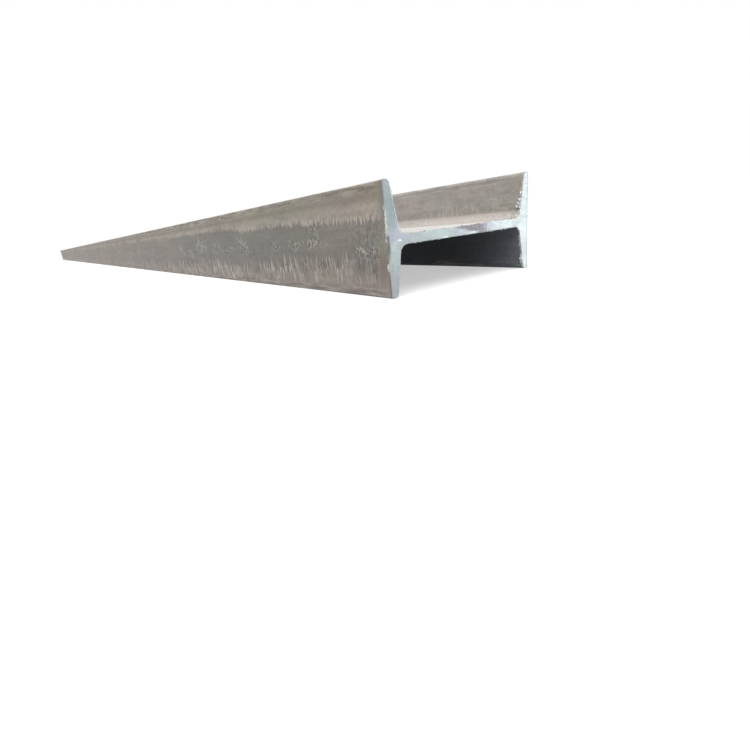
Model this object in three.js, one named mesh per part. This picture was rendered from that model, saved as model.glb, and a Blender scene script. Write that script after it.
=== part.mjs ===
/**
 * Hot-rolled steel I-beam with tapered flanges, rolled size 20b, cut to six metres.
 *
 * The beam is one bar of one section along its whole length, sawn square at both ends.
 * Units are millimetres and +Z is up. The beam lies as it is stacked, on the tips of its
 * flanges, with its web level: X runs across the depth of the section, Y along the beam and
 * Z across the width of the flanges. The origin is on the ground under the beam's middle.
 */
import * as THREE from 'three';

// Driving dimensions of the section, as a table of rolled sizes gives them.
const DEPTH = 200;
const FLANGE_WIDTH = 102;
const WEB_THICKNESS = 9;
// Thickness of a flange halfway between its tip and the face of the web.
const FLANGE_THICKNESS = 11.4;
// Fall of a flange's inner face for each millimetre towards the tip.
const FLANGE_SLOPE = 1 / 6;
// Radius of the fillet between the web and a flange.
const ROOT_RADIUS = 9;
// Radius that the rolls leave on the inner edge of a flange's tip.
const TIP_RADIUS = 4.5;
// Radius that the rolls leave on the outer edge of a flange's tip.
const OUTER_EDGE_RADIUS = 1.5;

// Length between the two saw cuts.
const LENGTH = 6000;

// Divisions that the extrusion gives a curve: an arc is cut into twice as many chords.
const CURVE_DIVISIONS = 5;

// One flange outstands from the face of the web by this much on each side.
const outstand = (FLANGE_WIDTH - WEB_THICKNESS) / 2;
const taper = (outstand / 2) * FLANGE_SLOPE;
const tipThickness = FLANGE_THICKNESS - taper;
const rootThickness = FLANGE_THICKNESS + taper;

/** How far from a sharp corner an arc of radius 1 starts, for the angle inside the corner. */
function setbackPerRadius(insideAngle) {
  return 1 / Math.tan(insideAngle / 2);
}

/** The tip's radius, held to the steel that the outer edge's radius leaves it. */
function fittedTipRadius() {
  const tipAngle = Math.PI / 2 - Math.atan(FLANGE_SLOPE);
  const room = tipThickness - OUTER_EDGE_RADIUS;
  return Math.min(TIP_RADIUS, room / setbackPerRadius(tipAngle));
}

/** The section's twelve sharp corners with their radii, counter-clockwise, web along X. */
function sectionCorners() {
  const quarter = [
    { at: new THREE.Vector2(DEPTH / 2, FLANGE_WIDTH / 2), radius: OUTER_EDGE_RADIUS },
    { at: new THREE.Vector2(DEPTH / 2 - tipThickness, FLANGE_WIDTH / 2), radius: fittedTipRadius() },
    { at: new THREE.Vector2(DEPTH / 2 - rootThickness, WEB_THICKNESS / 2), radius: ROOT_RADIUS },
  ];
  const mirrored = (corners, mirrorX, mirrorY) => corners.map(({ at, radius }) => (
    { at: new THREE.Vector2(mirrorX * at.x, mirrorY * at.y), radius }
  ));
  const reversedQuarter = [...quarter].reverse();
  return [
    ...quarter,
    ...mirrored(reversedQuarter, -1, 1),
    ...mirrored(quarter, -1, -1),
    ...mirrored(reversedQuarter, 1, -1),
  ];
}

/** The arc that rounds one corner, tangent to the edges that come from and go to its neighbours. */
function cornerArc(before, corner, after) {
  const toBefore = before.at.clone().sub(corner.at).normalize();
  const toAfter = after.at.clone().sub(corner.at).normalize();
  const insideAngle = Math.acos(toBefore.dot(toAfter));
  const setback = corner.radius * setbackPerRadius(insideAngle);
  const start = corner.at.clone().addScaledVector(toBefore, setback);
  const end = corner.at.clone().addScaledVector(toAfter, setback);
  const bisector = toBefore.clone().add(toAfter).normalize();
  const centre = corner.at.clone().addScaledVector(bisector, corner.radius / Math.sin(insideAngle / 2));
  return {
    centre,
    radius: corner.radius,
    startAngle: start.clone().sub(centre).angle(),
    endAngle: end.clone().sub(centre).angle(),
    clockwise: toBefore.cross(toAfter) > 0,
  };
}

/** The outline of the section: straight faces joined by tangent arcs at every corner. */
function sectionShape() {
  const corners = sectionCorners();
  const shape = new THREE.Shape();
  corners.forEach((corner, index) => {
    const before = corners[(index + corners.length - 1) % corners.length];
    const after = corners[(index + 1) % corners.length];
    const arc = cornerArc(before, corner, after);
    shape.absarc(arc.centre.x, arc.centre.y, arc.radius, arc.startAngle, arc.endAngle, arc.clockwise);
  });
  shape.closePath();
  return shape;
}

/** The section drawn out along the beam, turned so that the web lies level. */
function beamGeometry() {
  const geometry = new THREE.ExtrudeGeometry(sectionShape(), {
    depth: LENGTH,
    steps: 1,
    curveSegments: CURVE_DIVISIONS,
    bevelEnabled: false,
  });
  geometry.rotateX(Math.PI / 2);
  return geometry;
}

// Bare hot-rolled steel under a thin brown-grey mill scale.
const millScale = new THREE.MeshStandardMaterial({ color: 0x8b847b, roughness: 0.65, metalness: 0.4 });

const beam = new THREE.Mesh(beamGeometry(), millScale);
beam.name = 'i_beam';
beam.position.set(0, LENGTH / 2, FLANGE_WIDTH / 2);

const group = new THREE.Group();
group.add(beam);

export default group;
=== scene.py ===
"""Dresses a hot-rolled steel I-beam: the rolled bar, its two sawn ends and the burrs of the saw.

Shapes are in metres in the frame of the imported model. X runs across the depth of the section,
Y along the beam and Z across the width of the flanges, with the flange tips on the floor. The
near end is the one at the lowest Y.
"""

import math
import random
from functools import cached_property, reduce
from itertools import groupby, pairwise

import bmesh
import bpy
from bpy.props import FloatProperty, FloatVectorProperty, IntProperty, PointerProperty
from mathutils import Matrix, Vector, noise
from mathutils.geometry import delaunay_2d_cdt
from mathutils.kdtree import KDTree


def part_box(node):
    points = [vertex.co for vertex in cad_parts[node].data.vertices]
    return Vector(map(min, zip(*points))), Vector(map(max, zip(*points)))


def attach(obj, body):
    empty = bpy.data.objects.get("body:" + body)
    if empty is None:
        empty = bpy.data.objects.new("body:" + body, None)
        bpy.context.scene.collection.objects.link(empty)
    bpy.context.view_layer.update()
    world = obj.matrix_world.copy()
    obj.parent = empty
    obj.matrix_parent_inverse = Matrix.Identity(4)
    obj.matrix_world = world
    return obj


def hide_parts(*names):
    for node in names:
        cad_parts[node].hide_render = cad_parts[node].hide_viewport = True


bl_info = {
    "name": "Rolled I-beam",
    "version": (1, 0, 0),
    "blender": (4, 5, 0),
    "location": "3D View > Sidebar > I-beam",
    "description": "Dresses a steel I-beam with mill scale, sawn ends and burrs",
    "category": "Object",
}

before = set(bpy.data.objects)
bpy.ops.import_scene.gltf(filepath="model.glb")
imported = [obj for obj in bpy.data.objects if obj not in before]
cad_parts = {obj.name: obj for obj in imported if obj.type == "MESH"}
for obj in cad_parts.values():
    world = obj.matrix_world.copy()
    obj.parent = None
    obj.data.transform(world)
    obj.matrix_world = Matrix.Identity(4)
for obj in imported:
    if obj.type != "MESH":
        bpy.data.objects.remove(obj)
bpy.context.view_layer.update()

NODE = "i_beam"
BODY = "root"

LOW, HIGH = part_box(NODE)
MIDDLE = (LOW + HIGH) / 2
DEPTH = HIGH.x - LOW.x
WIDTH = HIGH.z - LOW.z
HALF_DEPTH, HALF_LENGTH, HALF_WIDTH = (HIGH - LOW) / 2
# Each end's name, its place along Y and the way from there into the bar.
ENDS = (("near", LOW.y, 1.0), ("far", HIGH.y, -1.0))

MM = 0.001
IN_MM = 1000
WELD = 1e-6
# The cosine past which a face counts as square to an axis.
SQUARE = 0.999
WHITE = (1.0, 1.0, 1.0, 1.0)


# ---- Settings ----

def length(name, description, default):
    """A length in metres."""
    return FloatProperty(name=name, description=description, default=default, min=0.0,
                         subtype="DISTANCE", unit="LENGTH", precision=5)


def strength(name, description, default):
    """The strength of a light."""
    return FloatProperty(name=name, description=description, default=default, min=0.0)


def colour(name, description, default):
    """A scene-linear colour."""
    return FloatVectorProperty(name=name, description=description, default=default, size=3,
                               min=0.0, max=1.0, subtype="COLOR")


class BarSettings(bpy.types.PropertyGroup):
    """The mesh of the rolled bar."""

    face_step: length("Face step", "Longest gap between points across a face", 5 * MM)
    end_step: length("End step", "Gap between rings of points beside a sawn end", 2 * MM)
    middle_step: length("Middle step", "Gap between rings of points at mid-length", 50 * MM)
    hollow: length("Hollow", "Depth of the rolls' shallow waves", 0.25 * MM)
    hollow_length: length("Hollow length", "Length of the waves along the bar", 180 * MM)


class ScaleSettings(bpy.types.PropertyGroup):
    """Colours of the mill scale."""

    upper: colour("Upper scale", "Tan-grey scale high on a flange", (0.292, 0.262, 0.224))
    lower: colour("Lower scale", "Mauve-grey scale low on a flange", (0.292, 0.252, 0.232))
    band: colour("Band", "Green-grey band along the middle of a flange", (0.217, 0.206, 0.184))
    pale_stroke: colour("Pale stroke", "Pale strokes along the band", (0.510, 0.460, 0.425))
    dark_stroke: colour("Dark stroke", "Dark strokes along the band", (0.130, 0.118, 0.108))
    fleck: colour("Fleck", "Pale flecks of lifted scale in the band", (0.42, 0.42, 0.375))
    olive: colour("Olive", "Green-grey clouds in the scale", (0.300, 0.298, 0.232))
    mauve: colour("Mauve", "Red-grey clouds in the scale", (0.300, 0.243, 0.222))
    inner: colour("Inner face", "Smooth scale inside the flanges", (0.271, 0.253, 0.237))
    # Painted shade: a blue-black colour laid over the lower channel for the shade that falls there.
    channel_shade: colour("Sheltered", "Blue-black scale in the lower channel", (0.140, 0.160, 0.200))
    # Painted sheen: the web's two colours are paler than its scale, partly from sawdust and partly
    # for the gleam of the web seen at a low angle.
    web: colour("Web", "Dusty scale on the web and its fillets", (0.440, 0.405, 0.378))
    dust_and_sheen: colour("Dust", "Pale dust on the web beside a cut", (0.575, 0.556, 0.530))
    edge: colour("Edge", "Scale worn thin along the flange tips", (0.40, 0.385, 0.345))
    heated: colour("Heated", "Scale browned by the heat of the saw", (0.305, 0.268, 0.205))
    greyed: colour("Greyed", "Grey scale high beside a cut", (0.228, 0.226, 0.222))
    flushed: colour("Flushed", "Red-brown scale low beside a cut", (0.215, 0.168, 0.160))
    # Partly bare steel and partly a painted glint of the cut edge.
    bare: colour("Bare", "Steel laid bare beside a cut", (0.58, 0.60, 0.59))


class CutSettings(bpy.types.PropertyGroup):
    """The sawn ends."""

    slice_depth: length("Slice depth", "Depth of the bare steel at an end", 0.4 * MM)
    grid: length("Grid", "Gap between points on a sawn face", 0.8 * MM)
    rim: length("Rim", "Width of the broken edge round a sawn face", 0.3 * MM)
    rim_depth: length("Rim depth", "How far the broken edge falls back", 0.2 * MM)
    kerf_depth: length("Kerf depth", "Depth of the saw's marks", 0.08 * MM)
    kerf_pitch: length("Kerf pitch", "Gap between the saw's marks", 2.6 * MM)
    saw_radius: length("Saw radius", "Radius of the saw blade", 900 * MM)
    steel: colour("Sawn steel", "Bare steel of a cut", (0.275, 0.308, 0.314))
    lilac: colour("Lilac", "Faint lilac heat tint on a cut", (0.320, 0.335, 0.388))
    # Painted sheen: this paler steel is laid where the mirrored light of the sheen lamp falls
    # short, low on the flange at +X and on the web towards +X.
    bright: colour("Bright steel", "Brighter steel of a cut", (0.345, 0.385, 0.390))
    mint: colour("Mint", "Faint green heat tint on a cut", (0.320, 0.388, 0.372))
    # Painted shade: a darker steel for the upper part of the flange at -X.
    upper_shade: colour("Dull steel", "Duller steel at the top of one flange", (0.232, 0.278, 0.282))
    stain: colour("Stain", "Brown-violet stain on the web's cut", (0.210, 0.194, 0.212))
    # Painted highlights: the glint colour puts bright glints on the edges of a cut.
    glint: colour("Glint", "Bright nicks along the edges of a cut", (0.62, 0.66, 0.68))
    # The mark colour also draws a dark line along the +X edge of a cut, partly painted shade.
    mark: colour("Mark", "Dark marks along the edges of a cut", (0.095, 0.098, 0.105))


class BurrSettings(bpy.types.PropertyGroup):
    """The torn steel that the saw leaves inside the channels."""

    step: length("Step", "Gap between points along a burr", 0.6 * MM)
    height: length("Height", "Usual height of a burr", 0.3 * MM)
    peak: length("Peak", "Height of the tallest teeth", 2.2 * MM)
    root: length("Root", "How deep a burr is set in the steel", 0.15 * MM)
    foot: length("Foot", "Width of a burr's foot along the bar", 0.9 * MM)
    flap_thickness: length("Flap thickness", "Thickness of a flap of torn steel", 0.3 * MM)
    seed: IntProperty(name="Seed", description="Seed of the burrs", default=7, min=0)
    torn: colour("Torn steel", "Bright torn steel of a burr", (0.480, 0.500, 0.500))
    soot: colour("Soot", "Dark specks on a burr", (0.060, 0.060, 0.065))


class StageSettings(bpy.types.PropertyGroup):
    """The floor, the lamps and the camera."""

    floor: colour("Floor", "The floor's colour as it lights the beam", (0.10, 0.10, 0.10))
    floor_size: length("Floor size", "Side of the square floor", 400.0)
    lens: FloatProperty(name="Lens", description="Focal length for a 36 mm wide sensor",
                        default=21.5, min=1.0, subtype="DISTANCE_CAMERA")
    world: strength("World", "Strength of the even light all round", 0.50)
    top: strength("Top lamp", "Strength of the soft light from above", 2.7)
    side: strength("Side lamp", "Strength of the soft light beside the camera", 0.95)
    sheen: strength("Sheen lamp", "Strength of the light that the cuts mirror", 3.6)


# ---- Shader maths ----

# How far raw noise strays to either side of 0.5, which is spread out to fill 0 to 1.
NOISE_REACH = 0.16
# A Mix node's sockets for colours, which share their names with others.
MIX_SHARE, MIX_UNDER, MIX_OVER, MIX_RESULT = 0, 6, 7, 2
# How strongly the scale or film on a metal mirrors, where 0.5 is ordinary.
SPECULAR = 0.3


class Wire:
    """One output socket of a node tree. Arithmetic on it adds Math nodes."""

    def __init__(self, graph, socket):
        self.graph = graph
        self.socket = socket

    def math(self, operation, *values):
        """A Math node of this socket and the values."""
        return self.graph.node("Math", dict(enumerate((self, *values))), operation=operation)

    def __add__(self, other):
        return self.math("ADD", other)

    __radd__ = __add__

    def __mul__(self, other):
        return self.math("MULTIPLY", other)

    __rmul__ = __mul__

    def __sub__(self, other):
        return self.math("SUBTRACT", other)

    def __rsub__(self, other):
        return self.math("MULTIPLY_ADD", -1.0, other)

    def __abs__(self):
        return self.math("ABSOLUTE")

    def most(self, other):
        """The larger of this value and another."""
        return self.math("MAXIMUM", other)

    def ramp(self, start, end, low=0.0, high=1.0):
        """Goes smoothly from low to high as this value goes from start to end."""
        inputs = {0: self, 1: start, 2: end, 3: low, 4: high}
        return self.graph.node("MapRange", inputs, interpolation_type="SMOOTHSTEP")

    def near(self, centre, reach):
        """1 where this value is centre, falling smoothly to 0 at reach to either side."""
        return abs(self - centre).ramp(reach, 0.0)


class Graph:
    """The nodes of one material or world."""

    def __init__(self, owner):
        owner.use_nodes = True
        self.owner = owner
        self.tree = owner.node_tree
        self.tree.nodes.clear()

    def node(self, kind, inputs, output=0, **settings):
        """Adds a ShaderNode of a kind: its settings first, then the values or links of sockets."""
        made = self.tree.nodes.new(f"ShaderNode{kind}")
        for name, value in settings.items():
            setattr(made, name, value)
        for key, value in inputs.items():
            if isinstance(value, Wire):
                self.tree.links.new(value.socket, made.inputs[key])
            else:
                made.inputs[key].default_value = value
        return Wire(self, made.outputs[output]) if made.outputs else None

    @cached_property
    def point(self):
        """The point on the object."""
        return self.node("TexCoord", {}, "Object")

    def axes(self):
        """X, Y and Z of the point on the object."""
        return [self.node("SeparateXYZ", {0: self.point}, axis) for axis in "XYZ"]

    def vector(self, operation, *values):
        """A Vector Math node of the values."""
        return self.node("VectorMath", dict(enumerate(values)), operation=operation)

    def noise(self, waves, shift=0.0, detail=2.0, roughness=0.5, point=None):
        """Noise from 0 to 1 with so many waves in each metre along X, Y and Z."""
        scaled = self.vector("MULTIPLY_ADD", point or self.point, waves, (shift, shift, shift))
        inputs = {"Vector": scaled, "Scale": 1.0, "Detail": detail, "Roughness": roughness}
        raw = self.node("TexNoise", inputs, "Fac")
        inputs = {0: raw, 1: 0.5 - NOISE_REACH, 2: 0.5 + NOISE_REACH}
        return self.node("MapRange", inputs)

    def mix(self, share, under, over):
        """The colour under, covered with the colour over by share."""
        inputs = {MIX_SHARE: share, MIX_UNDER: self.tone(under), MIX_OVER: self.tone(over)}
        return self.node("Mix", inputs, MIX_RESULT, data_type="RGBA")

    def coats(self, under, *coats):
        """The colour under, below coats that are each a mask, its strength and a colour."""
        for mask, strongest, over in coats:
            under = self.mix(mask * strongest, under, over)
        return under

    def tint(self, tone, by):
        """A colour multiplied by a number."""
        return self.node("VectorMath", {0: tone, "Scale": by}, operation="SCALE")

    @staticmethod
    def tone(value):
        """A wire as it is, or three channels with an alpha."""
        return value if isinstance(value, Wire) else (*value, 1.0)

    def metal(self, tone, roughness, metallic, relief, relief_height):
        """The surface of a metal with bumps of relief_height metres."""
        inputs = {"Strength": 1.0, "Distance": relief_height, "Height": relief}
        normal = self.node("Bump", inputs)
        inputs = {"Base Color": tone, "Roughness": roughness, "Metallic": metallic,
                  "Specular IOR Level": SPECULAR, "Normal": normal}
        shader = self.node("BsdfPrincipled", inputs)
        self.node("OutputMaterial", {"Surface": shader})
        return self.owner

    def camera_sees(self):
        """1 for what the camera, a mirror or glass sees, and 0 for light."""
        rays = ("Is Camera Ray", "Is Glossy Ray", "Is Transmission Ray")
        return reduce(Wire.most, [self.node("LightPath", {}, ray) for ray in rays])


# ---- Mill scale ----

# The finishes are laid out in millimetres. OUTER_FACE and TIPS are how far those of the flanges
# lie from the middle of the section.
OUTER_FACE = HALF_DEPTH * IN_MM
TIPS = HALF_WIDTH * IN_MM
# Heights on a flange's outer face: the edges of the dark band, the patches of flecks in it, the
# pale and the dark line above it, and the nick beside each cut.
BAND_LOW = 24
BAND_HIGH = 73
FLECKS = 52
PALE_LINE = 80
DARK_LINE = 90
NICK = 28
# How far the web's face and the pale scale on it reach from the middle of its thickness.
WEB_FACE = 4.5
WEB_REACH = 12
# What is left of the dark band's contrast at mid-length.
FADED = 0.65


class MillScale(Graph):
    """Mill scale: a dark band with frayed edges along each flange, a web paled partly by painted
    sheen, and painted shade in the lower channel.
    """

    def __init__(self, colours):
        super().__init__(bpy.data.materials.new("mill_scale"))
        self.colours = colours
        x, y, z = self.axes()
        above_middle = (z - MIDDLE.z) * IN_MM
        self.height = above_middle + TIPS
        self.off_middle = abs(above_middle)
        self.side = abs(x - MIDDLE.x) * IN_MM
        self.from_cut = (HALF_LENGTH - abs(y - MIDDLE.y)) * IN_MM

        self.outer = self.side.ramp(OUTER_FACE - 3, OUTER_FACE - 1)
        self.above_web = above_middle.ramp(-1, 1)
        self.web_face = self.off_middle.ramp(WEB_FACE + 1.1, WEB_FACE + 0.2)
        self.beside_cut = self.from_cut.ramp(90, 20)
        self.fading = self.from_cut.ramp(600, 1100, 1, FADED)

        self.cloud = self.noise((5, 1.6, 9), 0, 3)
        self.drift = self.noise((15, 9, 22), 3.1, 3)
        self.hue = self.noise((9, 4, 16), 7.7, 3)
        self.teeth = self.noise((40, 220, 11), 2.2, 3, 0.6)
        self.stroke = self.noise((60, 285, 50), 9.4)
        self.broad = self.noise((30, 105, 24), 4.7)
        self.comb = self.noise((90, 500, 80), 8.4, 1)
        self.grain = self.noise((560, 560, 560), 0, 3, 0.6)
        self.lines = self.noise((300, 26, 300), 4)
        self.streak = self.noise((60, 14, 170), 8.8, 3)
        self.ragged = self.noise((420, 60, 420), 5.2, 3, 0.6)
        self.mottle = self.noise((60, 42, 95), 3.8, 4, 0.6)

    @cached_property
    def above_low(self):
        """How far a point lies above the band's lower edge, which has long teeth."""
        above = self.height + (self.teeth - 0.5) * 19 + (self.drift - 0.5) * 8
        return above - BAND_LOW + self.from_cut.ramp(130, 330) * 10

    @cached_property
    def above_high(self):
        """How far a point lies above the band's upper edge, which has short teeth."""
        above = self.height - (self.teeth - 0.5) * 5 + (self.drift - 0.5) * 4
        above = above - BAND_HIGH + self.from_cut.ramp(90, 50) * 2.5
        return above - self.from_cut.ramp(300, 550) * 6

    @cached_property
    def band(self):
        """1 in the dark band along the middle of a flange."""
        return self.above_low.ramp(-4, 1) * self.above_high.ramp(0.8, -0.8)

    @cached_property
    def fringe(self):
        """1 along the edges of the band, where it frays out in clusters."""
        upper = self.from_cut.ramp(250, 500, 0.75, 0.4)
        fringe = self.above_low.near(2, 14).most(self.above_high.near(3, 6) * upper)
        fringe = fringe * self.drift.ramp(0.1, 0.5, 0.6, 1) * self.fading
        return fringe * self.height.ramp(50, 70).most(self.from_cut.ramp(8, 30))

    @cached_property
    def pale(self):
        """1 on the pale strokes of the fringe, of three widths."""
        strokes = self.stroke.ramp(0.60, 0.70).most(self.comb.ramp(0.66, 0.80) * 0.8)
        return strokes.most(self.broad.ramp(0.7, 0.85) * 0.6) * self.fringe

    @cached_property
    def flecks_and_pits(self):
        """1 on the pale flecks of the band's middle, and 1 on the pits between them."""
        patch = self.noise((11, 15, 20), 5.6).ramp(0.35, 0.75).most(self.beside_cut * 0.45)
        flecked = patch * (self.height - (self.drift - 0.5) * 22).near(FLECKS, 15)
        spots = self.noise((400, 420, 280), 1.3, 1)
        return flecked * spots.ramp(0.52, 0.72), flecked * spots.ramp(0.45, 0.25)

    @cached_property
    def bare(self):
        """1 along a ragged line beside a cut, and on the nick: partly bare steel and partly a
        painted glint of the cut edge.
        """
        nick = self.from_cut.ramp(5, 1.5) * self.height.near(NICK, 5)
        nick = (nick * self.outer * (0.4 + self.ragged)).ramp(0.2, 0.4)
        line = (self.from_cut - self.ragged * 2.6).ramp(0.5, 0)
        whole = self.outer * self.height.near(54, 34).ramp(0.3, 0)
        return (line * self.drift.ramp(0.2, 0.45) * (1 - whole)).most(nick)

    def outer_face(self):
        """The flanges' outer faces: tan above, mauve below, and the dark band between."""
        colours, height, from_cut = self.colours, self.height, self.from_cut
        skin = self.mix(height.ramp(28, 80), colours.lower, colours.upper)
        tanned = from_cut.ramp(75, 30) * height.ramp(69, 76)
        paled = (self.drift.ramp(0, 0.6) * 0.25).most(from_cut.ramp(150, 50) * 0.3)
        darkened = height.near(DARK_LINE, 5) * self.mottle.ramp(0, 0.6)
        banded = self.band * self.cloud.ramp(0.2, 0.55, 0.35, 1)
        return self.coats(
            skin,
            (self.hue.ramp(0.5, 0.9), 0.6, colours.mauve),
            (self.hue.ramp(0.5, 0.1), 0.35, colours.olive),
            (tanned, 0.6, colours.heated),
            (height.near(PALE_LINE, 10), paled, colours.pale_stroke),
            (darkened, 0.25, colours.dark_stroke),
            (banded, self.fading, colours.band),
        )

    def frayed(self, skin):
        """The outer faces with pale and dark strokes along the band, flecks, pits and chips."""
        colours = self.colours
        gaps = (self.above_low.near(3, 15) * 0.7).most(self.above_high.near(1, 5) * 0.5)
        dark = self.stroke.ramp(0.42, 0.25).most(self.comb.ramp(0.36, 0.2))
        dark = dark.most(self.broad.ramp(0.35, 0.15) * 0.7) * gaps
        smudge = self.from_cut.near(46, 36) * self.height.near(26, 16)
        chipped = self.noise((40, 60, 120), 6.9).ramp(0.9, 1) * self.height.near(45, 30)
        flecks, pits = self.flecks_and_pits
        return self.coats(
            skin,
            (dark, 0.85, colours.dark_stroke),
            (self.pale, 1 - smudge * 0.7, colours.pale_stroke),
            (smudge, 0.4, colours.dark_stroke),
            (flecks, 0.8, colours.fleck),
            ((pits * 0.75).most(chipped * 0.4), 1, colours.dark_stroke),
        )

    def inner_face(self):
        """The inner faces of the flanges: smooth, with a few faint strokes."""
        colours = self.colours
        clustered = self.drift.ramp(0.4, 0.8)
        inside = self.coats(
            colours.inner,
            (self.hue.ramp(0.5, 0.9), 0.25, colours.mauve),
            (self.hue.ramp(0.5, 0.1), 0.2, colours.olive),
        )
        inside = self.tint(inside, 1 + self.from_cut.near(210, 130) * 0.13)
        return self.coats(
            inside,
            (self.stroke.ramp(0.6, 0.9) * clustered, 0.35, colours.edge),
            (self.stroke.ramp(0.35, 0.1) * clustered, 0.12, colours.dark_stroke),
        )

    def web(self):
        """The top of the web: pale beside the cuts, partly sawdust and partly painted sheen, less
        so next to the flanges where shade falls, and streaked grey scale past it.
        """
        colours = self.colours
        rolled = self.noise((105, 1.6, 40), 6.2, 3, 0.6)
        along = self.from_cut + (self.drift - 0.5) * 150
        away = along.ramp(170, 700)
        # Painted sheen with some sawdust, strongest beside a cut and in the middle of the web,
        # weaker next to the flanges where shade falls.
        sheen_and_dust_mask = along.ramp(420, 170) * self.side.ramp(75, 20)
        return self.coats(
            colours.web,
            (self.streak.ramp(0.4, 0.9), 0.15, colours.mauve),
            (away, rolled.ramp(0.1, 0.9, 0.4, 0.95), colours.inner),
            (sheen_and_dust_mask, self.web_face, colours.dust_and_sheen),
        )

    def channels(self):
        """The two channels: the upper one with its pale web, and the lower one, darkened with
        painted shade.
        """
        # The top of the web, which takes its pale colour of sawdust and painted sheen.
        web_top = self.above_web * self.off_middle.ramp(WEB_REACH + 2, WEB_REACH - 1)
        below_web = 1 - self.above_web
        inside = self.mix(web_top, self.inner_face(), self.web())
        # Painted shade: the lower channel takes the blue-black shade colour, and grows darker away
        # from the cuts.
        inside = self.mix(below_web * 0.75, inside, self.colours.channel_shade)
        shade = below_web * self.from_cut.ramp(15, 130)
        return self.tint(inside, 1 - shade * 0.45)

    def worn(self, tone):
        """A colour with lines and worn scale along the tips, and an uneven depth all over."""
        colours = self.colours
        speckle = self.noise((210, 170, 230), 7.1)
        lined = self.off_middle.ramp(TIPS - 11, TIPS - 4)
        tips = self.off_middle.ramp(TIPS - 1.2, TIPS - 0.3)
        tone = self.coats(
            tone,
            (lined * self.lines.ramp(0.58, 0.8), 0.6, colours.edge),
            (lined * self.lines.ramp(0.42, 0.2), 0.2 + self.outer * 0.3, colours.dark_stroke),
            (tips, self.lines.ramp(0.3, 0.7, 0, 0.5), colours.edge),
        )
        uneven = self.cloud * 0.12 + self.grain * 0.18 + self.drift * 0.10 + self.streak * 0.13
        uneven = uneven + speckle * (0.08 + self.beside_cut * 0.08)
        tone = self.tint(tone, 0.62 + uneven + self.mottle * (0.19 - self.band * 0.13))
        return self.tint(tone, self.from_cut.ramp(400, 1200, 1, 0.95))

    def cut_back(self, tone):
        """A colour with what the saw did to it beside the cuts."""
        colours, height, from_cut, outer = self.colours, self.height, self.from_cut, self.outer
        heat = (from_cut + (self.drift - 0.5) * 14).ramp(18, 0)
        greened = height.near(52, 16).most(height.ramp(16, 8))
        browned = self.mix(greened, colours.heated, colours.olive)
        greyed = from_cut.ramp(10, 3) * height.ramp(60, 72) * outer
        flushed = from_cut.near(9, 11) * height.near(27, 18) * outer
        seam = from_cut.ramp(3, 1.6) * height.ramp(24, 18) * outer
        return self.coats(
            tone,
            (heat, self.hue.ramp(0.2, 0.6, 0.2, 0.6), browned),
            (greyed, 0.7, colours.greyed),
            (flushed, 0.75, colours.flushed),
            (seam, 0.6, colours.dark_stroke),
            # Bare steel and a painted glint along the cut edges.
            (self.bare, 1, colours.bare),
        )

    def finish(self):
        """The whole material."""
        tone = self.mix(self.outer, self.channels(), self.frayed(self.outer_face()))
        tone = self.cut_back(self.worn(tone))
        roughness = 0.58 + self.grain * 0.14 - self.band * 0.05 + self.pale * 0.06 - self.bare * 0.2
        flecks, pits = self.flecks_and_pits
        relief = self.grain * 0.35 + self.stroke * self.fringe * 0.5 + self.lines * 0.1
        relief = (relief + flecks * 0.5 - pits * 0.5) * (1 - self.web_face * 0.5)
        return self.metal(tone, roughness, 0.2, relief, 0.3 * MM)


# ---- Sawn and torn steel ----

# Places on a sawn face: X from the middle of the section, Z from its lower edge, and how far the
# tint or mark reaches from there along X and Z.
LILAC_PLACES = ((-84, 57, 30, 16), (-2, 48, 15, 8), (31, 51, 9, 12))
MINT_PLACES = ((-38, 51, 34, 20), (-95, 38, 20, 18))
# Painted sheen: the places where a cut is made paler in place of mirrored light.
PAINTED_SHEEN_PLACES = ((56, 51, 36, 30), (96, 27, 16, 40), (-90, 46, 10, 6))
# Painted shade: the upper part of the flange at -X.
PAINTED_SHADE_PLACES = ((-96, 78, 14, 30),)
# Painted highlights: the glints along the edges of a cut.
GLINT_PLACES = ((12.5, 48.2, 10, 2), (-29, 47.2, 7, 1.2), (-86, 50.5, 4.5, 1.6),
                (-99.8, 68, 1.2, 16))
MARK_PLACES = ((-99, 45, 3.4, 15), (-98.8, 53, 2.4, 5))
# The flanges' inner faces: how far each lies from its outer face at the middle of the web, and
# how steeply it leans out from there.
FLANGE_ROOT = 16
INNER_SLOPE = 1 / 6
# The stain on the web: the height of its lower edge at the middle of the section, how that falls
# along X, and where the stain sets in and where it ends.
STAIN_HEIGHT = 51.2
STAIN_FALL = 0.27
STAIN_START = (-20, -12)
STAIN_END = (34, 23)
# How far to one side the blade's middle stood, as a share of its radius.
BLADE_ASIDE = 0.3


def blade_middle(settings):
    """X and Z of the blade's middle, far enough up to leave nearly level arcs."""
    return Vector((MIDDLE.x + settings.saw_radius * BLADE_ASIDE, HIGH.z + settings.saw_radius))


def saw_marks(graph, settings, x, y):
    """Noise drawn out into arcs round the middle of the blade."""
    blade = blade_middle(settings)
    reach = graph.vector("SUBTRACT", graph.point, (blade.x, 0, blade.y))
    flat = graph.vector("MULTIPLY", reach, (1, 0, 1))
    radius = graph.node("VectorMath", {0: flat}, "Value", operation="LENGTH")
    arc = graph.node("CombineXYZ", {0: radius, 1: x * 0.02, 2: y})
    return graph.noise((700, 700, 3), 0, 3, 0.6, point=arc)


def spread(places, across, height):
    """1 at each of the places on a sawn face, falling to 0 at its reach."""
    return reduce(Wire.most, [
        across.near(x, reach_x) * height.near(z, reach_z)
        for x, z, reach_x, reach_z in places
    ])


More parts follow.
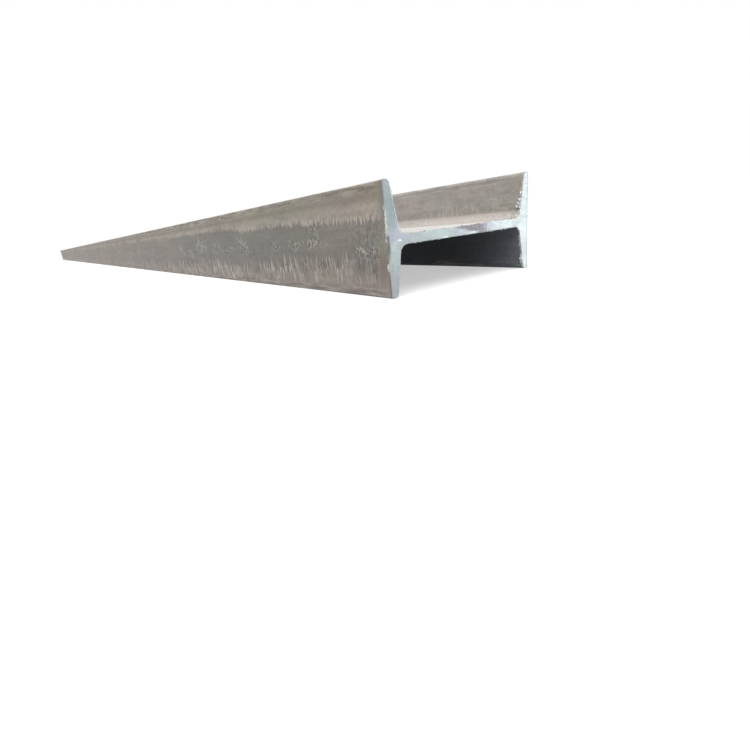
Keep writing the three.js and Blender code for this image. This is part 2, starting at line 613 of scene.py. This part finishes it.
def edge_marks(across, height, dots):
    """Dark marks along the edges of a cut, a dark line along its +X edge that is partly the scale's
    edge and partly painted shade, and soot inside the flange at +X.
    """
    # Partly the scale's edge and partly painted shade, which keeps the +X edge of the cut dark.
    edge_line_and_shade = across.ramp(OUTER_FACE - 1.7, OUTER_FACE - 1.1)
    past_inner_face = across - (OUTER_FACE - FLANGE_ROOT + abs(height - TIPS) * INNER_SLOPE)
    soot = past_inner_face.near(0.4, 2) * dots.ramp(0.60, 0.45) * height.ramp(62, 70)
    return (spread(MARK_PLACES, across, height) * 0.9).most(edge_line_and_shade * 0.6).most(soot * 0.8)


def sawn_steel(settings):
    """Bare sawn steel: faint curved saw marks, heat tints and a stain on the web, with painted
    sheen, painted shade and painted highlights in given places.
    """
    graph = Graph(bpy.data.materials.new("sawn_steel"))
    x, y, z = graph.axes()
    grain = graph.noise((900, 300, 900))
    cloud = graph.noise((26, 5, 32), 1, 3)
    hue = graph.noise((30, 5, 38), 6, 3)
    dots = graph.noise((520, 200, 480), 4, 3, 0.7)
    scratch = graph.noise((520, 100, 90), 2)
    marks = saw_marks(graph, settings, x, y)

    # The tints are turned about at the far end, as the bar is when it is sawn.
    across = (x - MIDDLE.x) * y.ramp(MIDDLE.y - WELD, MIDDLE.y + WELD, IN_MM, -IN_MM)
    height = (z - LOW.z) * IN_MM
    wandering = (across + (cloud - 0.5) * 14, height + (hue - 0.5) * 10)
    above_stain = height + across * STAIN_FALL - STAIN_HEIGHT + (dots - 0.5) * 3
    stain = above_stain.ramp(-1.5, 1.5) * across.ramp(*STAIN_START)
    stain = stain * (across + (scratch - 0.5) * 8).ramp(*STAIN_END)
    tone = graph.coats(
        settings.steel,
        # Painted sheen at its places.
        (spread(PAINTED_SHEEN_PLACES, *wandering).ramp(0, 0.6), 1, settings.bright),
        (spread(MINT_PLACES, *wandering).most(hue.ramp(0.65, 1) * 0.5), 0.9, settings.mint),
        (spread(LILAC_PLACES, *wandering).most(hue.ramp(0.35, 0) * 0.5), 0.9, settings.lilac),
        # Painted shade at its place.
        (spread(PAINTED_SHADE_PLACES, *wandering), 0.9, settings.upper_shade),
        (stain, dots.ramp(0.2, 0.8, 1, 0.55), settings.stain),
    )
    scuff = scratch.ramp(0.7, 0.95) - scratch.ramp(0.3, 0.05)
    uneven = cloud * 0.18 + marks * 0.04 + grain * 0.08 + scuff * 0.08
    uneven = uneven + (dots - 0.5) * (0.10 + stain * 0.45)
    tone = graph.tint(tone, 0.84 + uneven)
    # Painted sheen: the lowest part of a cut is made up to 13% paler, where the floor cuts off the
    # mirrored lamp.
    tone = graph.tint(tone, height.ramp(22, 6, 1, 1.13))

    mark = edge_marks(across, height, dots)
    tone = graph.coats(
        tone,
        # Painted highlights at the glint places.
        (spread(GLINT_PLACES, across, height) * 1.3, dots.ramp(0.3, 0.5), settings.glint),
        (mark, 1, settings.mark),
    )
    roughness = 0.42 + marks * 0.05 + stain * 0.12 + cloud * 0.04 + scratch * 0.04
    metallic = 0.75 - stain.most(mark) * 0.45
    relief = marks * 0.6 + grain * 0.3 + scratch * 0.3
    return graph.metal(tone, roughness, metallic, relief, 0.04 * MM)


def torn_steel(settings):
    """The torn steel of a burr: bright, rough and specked with soot."""
    graph = Graph(bpy.data.materials.new("torn_steel"))
    specks = graph.noise((520, 520, 520), 3.3)
    grain = graph.noise((1500, 1500, 1500), 0, 1)
    tone = graph.coats(settings.torn, (specks.ramp(0.55, 0.75), 0.85, settings.soot))
    tone = graph.tint(tone, 0.8 + grain * 0.3)
    return graph.metal(tone, 0.42 + specks * 0.2, 0.5, grain, 0.1 * MM)


# ---- Outlines ----

def read_section():
    """The CAD bar's section as (x, z) points, counter-clockwise seen from -Y."""
    mesh = bmesh.new()
    mesh.from_mesh(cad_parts[NODE].data)
    bmesh.ops.remove_doubles(mesh, verts=mesh.verts, dist=WELD)
    mesh.normal_update()
    cap = {face for face in mesh.faces if face.normal.y < -SQUARE}
    if not cap:
        raise RuntimeError(f"{NODE} has no flat face at its near end")
    follower = {
        loop.vert: loop.link_loop_next.vert
        for face in cap for loop in face.loops if loop.link_loop_radial_next.face not in cap
    }
    start = min(follower, key=lambda vertex: (vertex.co.z, vertex.co.x))
    outline = [start]
    while follower[outline[-1]] is not start:
        outline.append(follower[outline[-1]])
    points = [Vector((vertex.co.x, vertex.co.z)) for vertex in outline]
    mesh.free()
    return points


def closed_pairs(points):
    """Each point of a closed outline with the one after it."""
    return zip(points, points[1:] + points[:1])


def refined(outline, step):
    """The outline with points added, so that neighbours are at most step apart."""
    points = []
    for start, end in closed_pairs(outline):
        parts = max(1, math.ceil((end - start).length / step))
        points += [start.lerp(end, part / parts) for part in range(parts)]
    return points


def outward_normals(points):
    """The outward direction of the outline at each point."""
    alongs = (points[(index + 1) % len(points)] - points[index - 1] for index in range(len(points)))
    return [Vector((along.y, -along.x)).normalized() for along in alongs]


def shares_around(points):
    """Each point's share of the way round the outline, with the first again at 1."""
    distances = [0.0]
    for start, end in closed_pairs(points):
        distances.append(distances[-1] + (end - start).length)
    return [distance / distances[-1] for distance in distances]


def crossings(outline, axis, at):
    """Where the outline crosses a place along one axis, in order along the other axis."""
    other = 1 - axis
    return sorted(
        start[other] + (end[other] - start[other]) * (at - start[axis]) / (end[axis] - start[axis])
        for start, end in closed_pairs(outline)
        if (start[axis] > at) != (end[axis] > at)
    )


def place_object(name, data):
    """An object of the data, in the scene."""
    made = bpy.data.objects.new(name, data)
    bpy.context.scene.collection.objects.link(made)
    return made


def add_piece(name, mesh, material, smooth_angle):
    """Turns a bmesh into a piece on the beam's body, smooth but for sharp edges."""
    bmesh.ops.recalc_face_normals(mesh, faces=mesh.faces)
    data = bpy.data.meshes.new(name)
    mesh.to_mesh(data)
    mesh.free()
    data.materials.append(material)
    data.shade_smooth()
    data.set_sharp_from_angle(angle=math.radians(smooth_angle))
    piece = place_object(name, data)
    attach(piece, BODY)
    return piece


# ---- The maps for a bake ----

BAKE_MAP = "OFBake"
MAP_MARGIN = 0.015
# The rows of its map that the bar's length is folded into, for about square pixels.
MAP_ROWS = 3
# How far up a sawn end's map its face and the narrow strip of its side reach.
FACE_SHARE = 0.86
SIDE_SHARE = 0.93


def inset(share):
    """A share of a stretch of the map, kept clear of its ends."""
    return MAP_MARGIN + (1 - 2 * MAP_MARGIN) * share


def join_rings(mesh, layer, ring, beyond, near, far):
    """Joins two rings of points with faces, given their places on the map."""
    for index in range(len(ring)):
        turn = (index + 1) % len(ring)
        face = mesh.faces.new((ring[index], ring[turn], beyond[turn], beyond[index]))
        spots = (near[index], near[index + 1], far[index + 1], far[index])
        for loop, spot in zip(face.loops, spots):
            loop[layer].uv = spot


def map_hidden_face(face, layer, corner):
    """Lays a face that never shows in a small patch of the map."""
    for loop in face.loops:
        spot = Vector((loop.vert.co.x - LOW.x, loop.vert.co.z - LOW.z)) / DEPTH
        loop[layer].uv = Vector(corner) + spot * MAP_MARGIN


# ---- The rolled bar ----

# How much each gap between rings grows on the one before it.
RING_GROWTH = 1.06
# The rolls' shallow waves in each metre across the section.
HOLLOWS_ACROSS = 9.0


def ring_places(low, high, end_step, middle_step):
    """Places along the bar, close together beside its ends."""
    places = [0.0]
    step = end_step
    while places[-1] + step < (high - low) / 2:
        places.append(places[-1] + step)
        step = min(step * RING_GROWTH, middle_step)
    return [low + place for place in places] + [high - place for place in reversed(places)]


def waviness(settings, x, y, z):
    """How deep the rolls' shallow waves are at a point of the surface."""
    place = Vector((x * HOLLOWS_ACROSS, y / settings.hollow_length, z * HOLLOWS_ACROSS))
    return settings.hollow * min(1.0, max(0.0, 0.5 + 0.5 * noise.noise(place)))


def bar_rings(mesh, points, places, settings):
    """The bar's points, ring by ring, sunk by the rolls' waves but for the end rings."""
    normals = outward_normals(points)
    for y in places:
        fade = min(1.0, min(y - places[0], places[-1] - y) / settings.face_step)
        ring = []
        for point, normal in zip(points, normals):
            sunk = point - normal * (fade * waviness(settings, point.x, y, point.y))
            ring.append(mesh.verts.new((sunk.x, y, sunk.y)))
        yield ring


def bar_mesh(section, settings, low, high):
    """The rolled bar between two places along Y, closed at both ends."""
    mesh = bmesh.new()
    layer = mesh.loops.layers.uv.new(BAKE_MAP)
    points = refined(section, settings.face_step)
    places = ring_places(low, high, settings.end_step, settings.middle_step)
    rings = list(bar_rings(mesh, points, places, settings))
    around = shares_around(points)
    for (ring, beyond), (start, end) in zip(pairwise(rings), pairwise(places)):
        row = int(MAP_ROWS * ((start + end) / 2 - low) / (high - low))
        along = [inset(MAP_ROWS * (place - low) / (high - low) - row) for place in (start, end)]
        near, far = ([(place, (row + inset(share)) / MAP_ROWS) for share in around]
                     for place in along)
        join_rings(mesh, layer, ring, beyond, near, far)
    for cap in (rings[0], rings[-1]):
        map_hidden_face(mesh.faces.new(cap), layer, (0.0, 0.0))
    return mesh


class IBEAM_OT_roll_bar(bpy.types.Operator):
    """Make the rolled bar with its mill scale"""

    bl_idname = "ibeam.roll_bar"
    bl_label = "Roll the bar"

    def execute(self, context):
        scene = context.scene
        cut = scene.ibeam_cut.slice_depth
        mesh = bar_mesh(read_section(), scene.ibeam_bar, LOW.y + cut, HIGH.y - cut)
        finish = MillScale(scene.ibeam_scale).finish()
        bar = add_piece("rolled_bar", mesh, finish, smooth_angle=35)
        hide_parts(NODE)
        return {"FINISHED"}


# ---- The sawn ends ----

# The gap between the rim's points, and how far the face's inner points keep clear of the broken
# edge, as shares of the gap between those.
RIM_STEP = 1.5
RIM_CLEAR = 0.6
# The dents of the broken edge in each metre.
WEAR_WAVES = 90.0
# The kind of triangulation that keeps inside the outline.
INSIDE_OUTLINE = 1


def kerf(settings, point, seed):
    """How far the saw has cut below the end plane at a point (x, z) of the face."""
    radius = (point - blade_middle(settings)).length
    mark = noise.noise(Vector((radius / settings.kerf_pitch, seed * 3.7, point.x * 2.0)))
    return settings.kerf_depth * min(1.0, max(0.0, 0.5 + 0.8 * mark))


def broken_edge(settings, point, seed):
    """How far the broken edge has fallen back at a point (x, z) of the rim."""
    wear = noise.noise(Vector((point.x * WEAR_WAVES, point.y * WEAR_WAVES, seed)))
    return settings.rim_depth * (0.7 + 0.3 * wear)


def grid_inside(section, rim, step, clear):
    """The points of a staggered grid inside the section, clear of its rim."""
    tree = KDTree(len(rim))
    for index, point in enumerate(rim):
        tree.insert((point.x, point.y, 0.0), index)
    tree.balance()
    for column in range(1, int(DEPTH / step)):
        x = LOW.x + column * step
        heights = crossings(section, 0, x)
        for row in range(1, int(WIDTH / step)):
            z = LOW.z + (row + 0.5 * (column % 2)) * step
            within = any(bottom < z < top for bottom, top in zip(heights[::2], heights[1::2]))
            if within and tree.find((x, z, 0.0))[2] > clear:
                yield Vector((x, z))


def sawn_face(section, rim, settings):
    """The sawn face as points and triangles: its rim, the foot of the broken edge, and a grid."""
    count = len(rim)
    foot = [point - normal * settings.rim for point, normal in zip(rim, outward_normals(rim))]
    clear = settings.rim + settings.grid * RIM_CLEAR
    inside = list(grid_inside(section, rim, settings.grid, clear))
    edges = [(index, (index + 1) % count) for index in range(count)]
    edges += [(count + start, count + end) for start, end in edges]
    flat = delaunay_2d_cdt(rim + foot + inside, edges, [], INSIDE_OUTLINE, WELD)
    return flat[0], flat[2]


def slice_mesh(section, settings, end, inner, seed):
    """A thin slice of the section, with its sawn face at end and a plain one at inner."""
    mesh = bmesh.new()
    layer = mesh.loops.layers.uv.new(BAKE_MAP)
    rim = refined(section, settings.grid * RIM_STEP)
    points, triangles = sawn_face(section, rim, settings)
    inward = math.copysign(1.0, inner - end)
    front = []
    for index, point in enumerate(points):
        sunk = broken_edge if index < len(rim) else kerf
        y = end + inward * sunk(settings, point, seed)
        front.append(mesh.verts.new((point.x, y, point.y)))
    back = [mesh.verts.new((point.x, inner, point.y)) for point in points[:len(rim)]]

    for triangle in triangles:
        face = mesh.faces.new([front[index] for index in triangle])
        for loop, index in zip(face.loops, triangle):
            across = (points[index].x - LOW.x) / DEPTH
            up = (points[index].y - LOW.z) / WIDTH
            loop[layer].uv = (inset(across), inset(up) * FACE_SHARE)
    near, far = ([(inset(share), height + MAP_MARGIN) for share in shares_around(rim)]
                 for height in (FACE_SHARE, SIDE_SHARE))
    join_rings(mesh, layer, front[:len(rim)], back, near, far)
    map_hidden_face(mesh.faces.new(back), layer, (0.0, SIDE_SHARE + 2 * MAP_MARGIN))
    return mesh


class IBEAM_OT_saw_ends(bpy.types.Operator):
    """Make the two sawn ends of bare steel"""

    bl_idname = "ibeam.saw_ends"
    bl_label = "Saw the ends"

    def execute(self, context):
        settings = context.scene.ibeam_cut
        steel = sawn_steel(settings)
        section = read_section()
        for number, (name, end, inward) in enumerate(ENDS):
            inner = end + inward * settings.slice_depth
            mesh = slice_mesh(section, settings, end, inner, number + 0.5)
            add_piece(f"sawn_end_{name}", mesh, steel, smooth_angle=40)
        return {"FINISHED"}


# ---- The burrs of the saw ----

# How near to the flanges' tips and outer faces the burrs reach.
TIP_CLEAR = 4.5 * MM
OUTER_CLEAR = 5 * MM
# How far below the plane of the end a burr and a flap start.
BURR_SUNK = 0.02 * MM
FLAP_SUNK = 0.05 * MM
# A burr's teeth in each metre, and how many points it takes to rise.
BURR_WAVES = 220.0
BURR_RISE = 5
# How heavy a burr is at the lowest corner at -X, and what it gains up to the highest at +X.
BURR_LIGHTEST = 0.15
BURR_GAIN = 1.4


# The flaps of torn steel inside the flange at +X on the near end: how high the middle of each lies,
# half its own height, how far it stands out, and how far its edge curls in.
FLAPS = ((70.5 * MM, 5.5 * MM, 6.2 * MM, 2.5 * MM), (10.5 * MM, 6.5 * MM, 3.2 * MM, 1.2 * MM))
FLAP_ROWS = 18
FLAP_COLUMNS = 6


def channel_runs(section, step):
    """The outline inside the two channels, as runs of points with outward directions."""
    points = refined(section, step)

    def within(pair):
        point = pair[0]
        return (abs(point.x - MIDDLE.x) < HALF_DEPTH - OUTER_CLEAR
                and abs(point.y - MIDDLE.z) < HALF_WIDTH - TIP_CLEAR)

    for inner, run in groupby(zip(points, outward_normals(points)), key=within):
        if inner:
            yield list(run)


def burr_corners(settings, point, normal, share, draw):
    """The foot, tip and inner foot of a burr at a share of its height, with their depths."""
    across = (point.x - LOW.x) / DEPTH
    up = (point.y - LOW.z) / WIDTH
    heavy = BURR_LIGHTEST + BURR_GAIN * across * up
    place = Vector((point.x * BURR_WAVES, point.y * BURR_WAVES, draw.uniform(0.0, 0.6)))
    tooth = max(0.0, noise.noise(place) + draw.uniform(-0.15, 0.15)) * 1.6
    height = settings.height * draw.uniform(0.5, 1.0) + settings.peak * min(1.0, tooth * tooth)
    tip = point + normal * (height * heavy * share)
    foot = point - normal * settings.root
    lean = draw.uniform(0.0, 0.5) * settings.foot
    return (foot, BURR_SUNK), (tip, BURR_SUNK + lean), (foot, settings.foot)


def raise_burr(mesh, settings, run, end, inward, draw):
    """Adds a burr along a stretch of the cut edge: a closed strip with ragged teeth."""
    rows = []
    for index, (point, normal) in enumerate(run):
        share = min(1.0, min(index, len(run) - 1 - index) / BURR_RISE)
        corners = burr_corners(settings, point, normal, share, draw)
        rows.append([mesh.verts.new((spot.x, end + inward * depth, spot.y))
                     for spot, depth in corners])
    for row, following in pairwise(rows):
        for index in range(3):
            turn = (index + 1) % 3
            mesh.faces.new((row[index], following[index], following[turn], row[turn]))
    mesh.faces.new(rows[0])
    mesh.faces.new(rows[-1])


def flap_sheet(mesh, settings, section, flap, end, inward, sunk):
    """The points of one side of a flap, row by row, with a rounded and uneven outline."""
    middle, half, reach, curl = flap
    for row in range(FLAP_ROWS + 1):
        up = 2.0 * row / FLAP_ROWS - 1.0
        z = LOW.z + middle + up * half
        uneven = 0.85 + 0.5 * noise.noise(Vector((up * 2.3, middle * 500.0, 0.0)))
        out = reach * math.sqrt(max(0.02, 1.0 - up * up)) * uneven
        inner_face = crossings(section, 1, z)[-2]
        points = []
        for column in range(FLAP_COLUMNS + 1):
            share = column / FLAP_COLUMNS
            aside = inner_face + settings.root - out * share - MIDDLE.x
            y = end + inward * (sunk + curl * share * share)
            points.append(mesh.verts.new((MIDDLE.x + inward * aside, y, z)))
        yield points


def raise_flap(mesh, settings, section, flap, end, inward):
    """Adds a closed flap of torn steel, turned about at the far end."""
    front, back = (
        list(flap_sheet(mesh, settings, section, flap, end, inward, sunk))
        for sunk in (FLAP_SUNK, FLAP_SUNK + settings.flap_thickness)
    )
    for below, above in (*pairwise(front), *pairwise(back)):
        for column in range(FLAP_COLUMNS):
            mesh.faces.new((*below[column:column + 2], *reversed(above[column:column + 2])))
    rim = [(0, column) for column in range(FLAP_COLUMNS)]
    rim += [(row, FLAP_COLUMNS) for row in range(FLAP_ROWS)]
    rim += [(FLAP_ROWS - row, FLAP_COLUMNS - column) for row, column in rim]
    for (row, column), (to_row, to_column) in closed_pairs(rim):
        mesh.faces.new((front[row][column], front[to_row][to_column],
                        back[to_row][to_column], back[row][column]))


class IBEAM_OT_raise_burrs(bpy.types.Operator):
    """Make the saw's burrs and flaps inside the channels"""

    bl_idname = "ibeam.raise_burrs"
    bl_label = "Raise the burrs"

    def execute(self, context):
        settings = context.scene.ibeam_burr
        steel = torn_steel(settings)
        section = read_section()
        for name, end, inward in ENDS:
            draw = random.Random(settings.seed + int(inward))
            mesh = bmesh.new()
            for run in channel_runs(section, settings.step):
                raise_burr(mesh, settings, run, end, inward, draw)
            for flap in FLAPS:
                raise_flap(mesh, settings, section, flap, end, inward)
            add_piece(f"saw_burr_{name}", mesh, steel, smooth_angle=25)
        return {"FINISHED"}


# ---- The stage ----

# How much of the white that a camera sees on the floor is its own glow.
FLOOR_GLOW = 0.5
# The lamps: the setting with the strength of each, where it shines from, and how wide it looks
# from the beam, in degrees.
LAMPS = (
    ("top", (-0.25, -0.35, 1.0), 70),
    ("side", (-1.0, -0.55, 0.75), 60),
    ("sheen", (0.94, -0.34, 0.0), 20),
)
# Where the camera stands beside the near end, and its turns in degrees.
CAMERA_AT = Vector((LOW.x - 0.2519, LOW.y - 0.3245, LOW.z + 0.0708))
CAMERA_YAW = 34.51
CAMERA_PITCH = -19.10
CAMERA_ROLL = -6.27
NEAREST_SEEN = 10 * MM


def pale_floor(settings):
    """A pale floor that a camera or a mirror sees as white, with its shadows."""
    graph = Graph(bpy.data.materials.new("pale_floor"))
    plain = graph.node("BsdfDiffuse", {"Color": graph.tone(settings.floor)})
    white = graph.node("BsdfDiffuse", {"Color": WHITE})
    glow = graph.node("Emission", {"Color": WHITE, "Strength": 1.0})
    pale = graph.node("MixShader", {0: FLOOR_GLOW, 1: white, 2: glow})
    both = graph.node("MixShader", {0: graph.camera_sees(), 1: plain, 2: pale})
    graph.node("OutputMaterial", {"Surface": both})
    return graph.owner


def studio_world(settings):
    """Even light all round, which a camera or a mirror sees as white."""
    graph = Graph(bpy.data.worlds.new("studio"))
    inputs = {"Color": WHITE, "Strength": graph.camera_sees().ramp(0.0, 1.0, settings.world, 1.0)}
    light = graph.node("Background", inputs)
    graph.node("OutputWorld", {"Surface": light})
    return graph.owner


def lay_floor(settings):
    """A square floor under the flange tips."""
    half = settings.floor_size / 2
    corners = ((-half, -half), (half, -half), (half, half), (-half, half))
    mesh = bmesh.new()
    mesh.faces.new([mesh.verts.new((x, y, LOW.z)) for x, y in corners])
    data = bpy.data.meshes.new("floor")
    mesh.to_mesh(data)
    mesh.free()
    data.materials.append(pale_floor(settings))
    floor = place_object("floor", data)


def hang_lamps(settings):
    """The soft lamps, which light the whole bar alike."""
    for name, toward, width in LAMPS:
        lamp = bpy.data.lights.new(f"{name}_lamp", "SUN")
        lamp.energy = getattr(settings, name)
        lamp.angle = math.radians(width)
        turn = Vector(toward).to_track_quat("Z", "Y").to_euler()
        place_object(f"{name}_lamp", lamp).rotation_euler = turn


def place_camera(settings):
    """The camera beside the near end, looking along the bar."""
    lens = bpy.data.cameras.new("camera")
    lens.lens = settings.lens
    lens.clip_start = NEAREST_SEEN
    lens.clip_end = settings.floor_size * 2
    turn = Matrix.Rotation(math.radians(-CAMERA_YAW), 4, "Z")
    tilt = Matrix.Rotation(math.radians(90 + CAMERA_PITCH), 4, "X")
    roll = Matrix.Rotation(math.radians(CAMERA_ROLL), 4, "Z")
    camera = place_object("camera", lens)
    camera.matrix_world = Matrix.Translation(CAMERA_AT) @ turn @ tilt @ roll
    bpy.context.scene.camera = camera


class IBEAM_OT_set_stage(bpy.types.Operator):
    """Lay the floor, hang the lamps and place the camera"""

    bl_idname = "ibeam.set_stage"
    bl_label = "Set the stage"

    def execute(self, context):
        scene = context.scene
        lay_floor(scene.ibeam_stage)
        hang_lamps(scene.ibeam_stage)
        place_camera(scene.ibeam_stage)
        scene.world = studio_world(scene.ibeam_stage)
        scene.view_settings.view_transform = "Standard"
        return {"FINISHED"}


# ---- The sidebar ----

# The groups of settings by their names in the scene, and the operators that go with them.
SETTINGS = {
    "ibeam_bar": BarSettings,
    "ibeam_scale": ScaleSettings,
    "ibeam_cut": CutSettings,
    "ibeam_burr": BurrSettings,
    "ibeam_stage": StageSettings,
}
OPERATORS = {
    "ibeam_bar": IBEAM_OT_roll_bar,
    "ibeam_cut": IBEAM_OT_saw_ends,
    "ibeam_burr": IBEAM_OT_raise_burrs,
    "ibeam_stage": IBEAM_OT_set_stage,
}


class IBEAM_PT_sidebar(bpy.types.Panel):
    """Lists the beam's operators and settings."""

    bl_label = "I-beam"
    bl_space_type = "VIEW_3D"
    bl_region_type = "UI"
    bl_category = "I-beam"

    def draw(self, context):
        for group in SETTINGS:
            box = self.layout.box()
            if group in OPERATORS:
                box.operator(OPERATORS[group].bl_idname)
            settings = getattr(context.scene, group)
            for name in settings.bl_rna.properties.keys():
                if name not in ("rna_type", "name"):
                    box.prop(settings, name)


CLASSES = (*SETTINGS.values(), *OPERATORS.values(), IBEAM_PT_sidebar)


def register():
    for cls in CLASSES:
        bpy.utils.register_class(cls)
    for name, group in SETTINGS.items():
        setattr(bpy.types.Scene, name, PointerProperty(type=group))


def unregister():
    for name in SETTINGS:
        delattr(bpy.types.Scene, name)
    for cls in reversed(CLASSES):
        bpy.utils.unregister_class(cls)


def main():
    register()
    bpy.ops.ibeam.roll_bar()
    bpy.ops.ibeam.saw_ends()
    bpy.ops.ibeam.raise_burrs()
    bpy.ops.ibeam.set_stage()


if __name__ == "__main__":
    main()
